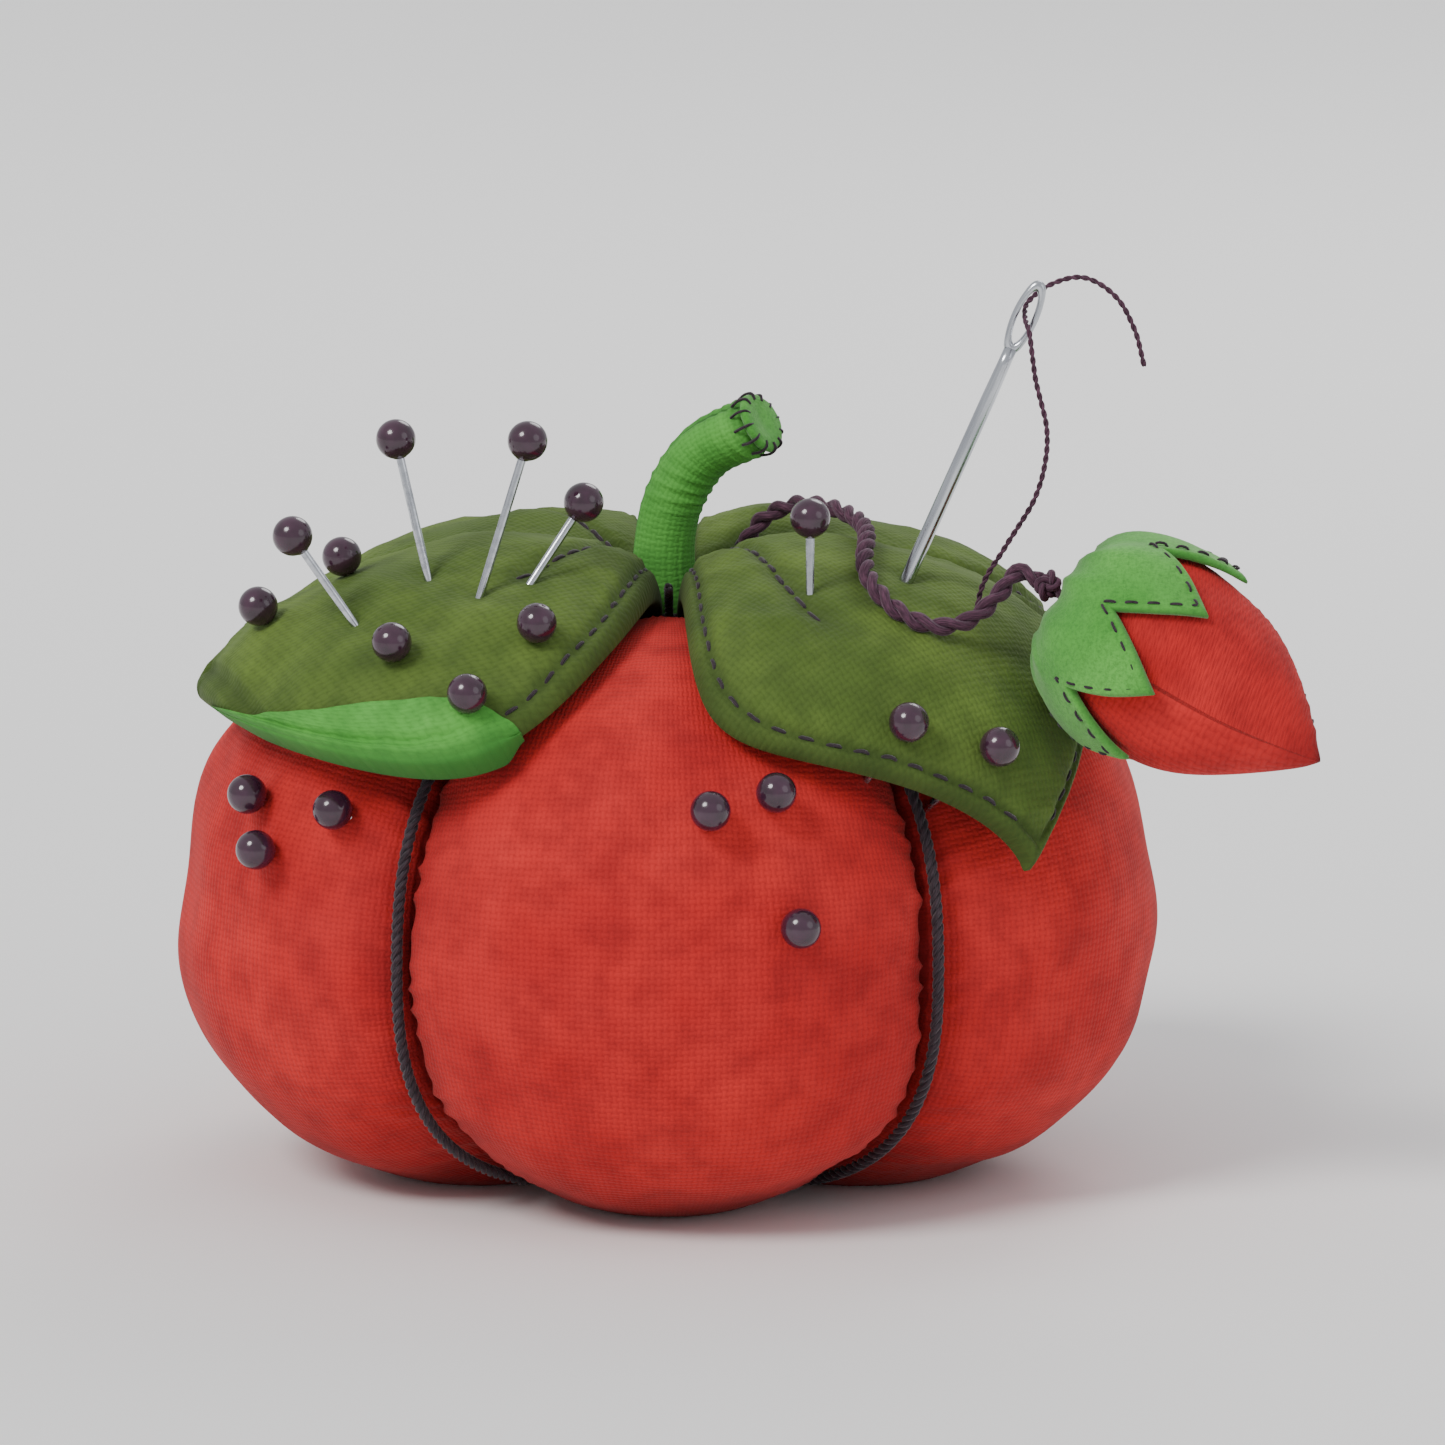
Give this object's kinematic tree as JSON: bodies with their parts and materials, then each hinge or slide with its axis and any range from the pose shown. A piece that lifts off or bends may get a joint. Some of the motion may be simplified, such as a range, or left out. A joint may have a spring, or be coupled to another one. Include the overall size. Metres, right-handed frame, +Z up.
{
  "type": "tomato pincushion",
  "caption": "Stuffed fabric tomato with puffy lobes, padded leaves and stem, ball-head pins, a threaded needle and a strawberry emery on a cord.",
  "frame": {"origin": "middle of the base on the table", "axes": "+Z up, -Y towards the front lobe, +X to the right"},
  "size_m": [0.0945, 0.0823, 0.0777],
  "materials": {
    "red_cotton": "plain woven cotton",
    "dark_red_felt": "felt",
    "sawdust": "packed sawdust",
    "leaf_cotton": "plain woven cotton",
    "bright_green_cotton": "plain woven cotton",
    "bright_green_felt": "wool felt",
    "charcoal_thread": "twisted cotton thread",
    "plum_cord": "twisted cotton cord",
    "bright_steel": "polished",
    "plum_head": "glossy moulded",
    "emery": "fine grit"
  },
  "bodies": {
    "root": {"filling": "sawdust", "cover_panel_1": "red_cotton", "cover_panel_2": "red_cotton", "cover_panel_3": "red_cotton", "cover_panel_4": "red_cotton", "cover_panel_5": "red_cotton", "lobe_thread": "charcoal_thread", "base_disc": "dark_red_felt", "leaf_front_left": "leaf_cotton", "leaf_front_right": "leaf_cotton", "crown_stitch": "charcoal_thread", "emery_cord": "plum_cord", "needle_thread": "plum_cord"},
    "stem": {"stem_cover": "bright_green_cotton", "stem_core": "sawdust", "stem_end": "bright_green_felt"},
    "leaf_back_right": {"leaf_back_right": "leaf_cotton"},
    "leaf_back_left": {"leaf_back_left": "leaf_cotton"},
    "emery_knot": {"strawberry_knot": "plum_cord"},
    "strawberry": {"strawberry_cover": "red_cotton", "strawberry_cap": "bright_green_felt", "emery_grit": "emery"},
    "needle": {"needle": "bright_steel"},
    "pin_01": {"pin_01_shaft": "bright_steel", "pin_01_head": "plum_head"},
    "pin_02": {"pin_02_shaft": "bright_steel", "pin_02_head": "plum_head"},
    "pin_03": {"pin_03_shaft": "bright_steel", "pin_03_head": "plum_head"},
    "pin_04": {"pin_04_shaft": "bright_steel", "pin_04_head": "plum_head"},
    "pin_05": {"pin_05_shaft": "bright_steel", "pin_05_head": "plum_head"},
    "pin_06": {"pin_06_shaft": "bright_steel", "pin_06_head": "plum_head"},
    "pin_07": {"pin_07_shaft": "bright_steel", "pin_07_head": "plum_head"},
    "pin_08": {"pin_08_shaft": "bright_steel", "pin_08_head": "plum_head"},
    "pin_09": {"pin_09_shaft": "bright_steel", "pin_09_head": "plum_head"},
    "pin_10": {"pin_10_shaft": "bright_steel", "pin_10_head": "plum_head"},
    "pin_11": {"pin_11_shaft": "bright_steel", "pin_11_head": "plum_head"},
    "pin_12": {"pin_12_shaft": "bright_steel", "pin_12_head": "plum_head"},
    "pin_13": {"pin_13_shaft": "bright_steel", "pin_13_head": "plum_head"},
    "pin_14": {"pin_14_shaft": "bright_steel", "pin_14_head": "plum_head"},
    "pin_15": {"pin_15_shaft": "bright_steel", "pin_15_head": "plum_head"},
    "pin_16": {"pin_16_shaft": "bright_steel", "pin_16_head": "plum_head"},
    "pin_17": {"pin_17_shaft": "bright_steel", "pin_17_head": "plum_head"},
    "pin_18": {"pin_18_shaft": "bright_steel", "pin_18_head": "plum_head"}
  },
  "joints": [
    {"name": "pin_01_slide", "type": "slide", "parent": "root", "child": "pin_01", "axis": [-0.5284, -0.2243, 0.8188], "range_m": [0, 0.0283]},
    {"name": "pin_02_slide", "type": "slide", "parent": "root", "child": "pin_02", "axis": [-0.5465, -0.1444, 0.8249], "range_m": [-0.007, 0.0213]},
    {"name": "pin_03_slide", "type": "slide", "parent": "root", "child": "pin_03", "axis": [-0.3369, -0.1361, 0.9317], "range_m": [0, 0.0283]},
    {"name": "pin_04_slide", "type": "slide", "parent": "root", "child": "pin_04", "axis": [-0.2186, 0, 0.9758], "range_m": [-0.0098, 0.0184]},
    {"name": "pin_05_slide", "type": "slide", "parent": "root", "child": "pin_05", "axis": [0.2928, -0.0418, 0.9552], "range_m": [-0.0113, 0.0169]},
    {"name": "pin_06_slide", "type": "slide", "parent": "root", "child": "pin_06", "axis": [0.5471, 0.134, 0.8263], "range_m": [-0.0055, 0.0227]},
    {"name": "pin_07_slide", "type": "slide", "parent": "root", "child": "pin_07", "axis": [-0.3534, -0.4524, 0.8188], "range_m": [0, 0.0283]},
    {"name": "pin_08_slide", "type": "slide", "parent": "root", "child": "pin_08", "axis": [-0.2787, -0.5977, 0.7517], "range_m": [0, 0.0283]},
    {"name": "pin_09_slide", "type": "slide", "parent": "root", "child": "pin_09", "axis": [-0.1458, -0.4007, 0.9045], "range_m": [0, 0.0283]},
    {"name": "pin_10_slide", "type": "slide", "parent": "root", "child": "pin_10", "axis": [0, -0.0779, 0.997], "range_m": [-0.004, 0.0243]},
    {"name": "pin_11_slide", "type": "slide", "parent": "root", "child": "pin_11", "axis": [0.3905, -0.6372, 0.6645], "range_m": [0, 0.0283]},
    {"name": "pin_12_slide", "type": "slide", "parent": "root", "child": "pin_12", "axis": [0.5134, -0.6454, 0.5656], "range_m": [0, 0.0283]},
    {"name": "pin_13_slide", "type": "slide", "parent": "root", "child": "pin_13", "axis": [-0.7746, -0.484, 0.4071], "range_m": [0, 0.0283]},
    {"name": "pin_14_slide", "type": "slide", "parent": "root", "child": "pin_14", "axis": [-0.7537, -0.4989, 0.4278], "range_m": [0, 0.0283]},
    {"name": "pin_15_slide", "type": "slide", "parent": "root", "child": "pin_15", "axis": [-0.7851, -0.5704, 0.2413], "range_m": [0, 0.0283]},
    {"name": "pin_16_slide", "type": "slide", "parent": "root", "child": "pin_16", "axis": [0.076, -0.869, 0.4889], "range_m": [0, 0.0283]},
    {"name": "pin_17_slide", "type": "slide", "parent": "root", "child": "pin_17", "axis": [0.1882, -0.815, 0.5481], "range_m": [0, 0.0283]},
    {"name": "pin_18_slide", "type": "slide", "parent": "root", "child": "pin_18", "axis": [0.4811, -0.8679, 0.1237], "range_m": [0, 0.0283]},
    {"name": "needle_slide", "type": "slide", "parent": "root", "child": "needle", "axis": [0.404, 0, 0.9148], "range_m": [-0.006, 0.013], "deforming": ["needle_thread"]},
    {"name": "stem_tilt", "type": "hinge", "parent": "root", "child": "stem", "pos_m": [0, 0, 0.0475], "axis": [0, 1, 0], "range_deg": [-15, 15]},
    {"name": "leaf_back_right_lift", "type": "hinge", "parent": "root", "child": "leaf_back_right", "pos_m": [0.00396, 0.00396, 0.0478], "axis": [0.7071, -0.7071, 0], "range_deg": [0, 12]},
    {"name": "leaf_back_left_lift", "type": "hinge", "parent": "root", "child": "leaf_back_left", "pos_m": [-0.00396, 0.00396, 0.0478], "axis": [0.7071, 0.7071, 0], "range_deg": [0, 12]},
    {"name": "emery_lift", "type": "hinge", "parent": "root", "child": "emery_knot", "pos_m": [0.006, 0, 0.0493], "axis": [0, -1, 0], "range_deg": [0, 27], "deforming": ["emery_cord"]},
    {"name": "strawberry_tilt", "type": "hinge", "parent": "emery_knot", "child": "strawberry", "pos_m": [0.0312, -0.0241, 0.0531], "axis": [0, -1, 0], "range_deg": [0, 40]}
  ]
}
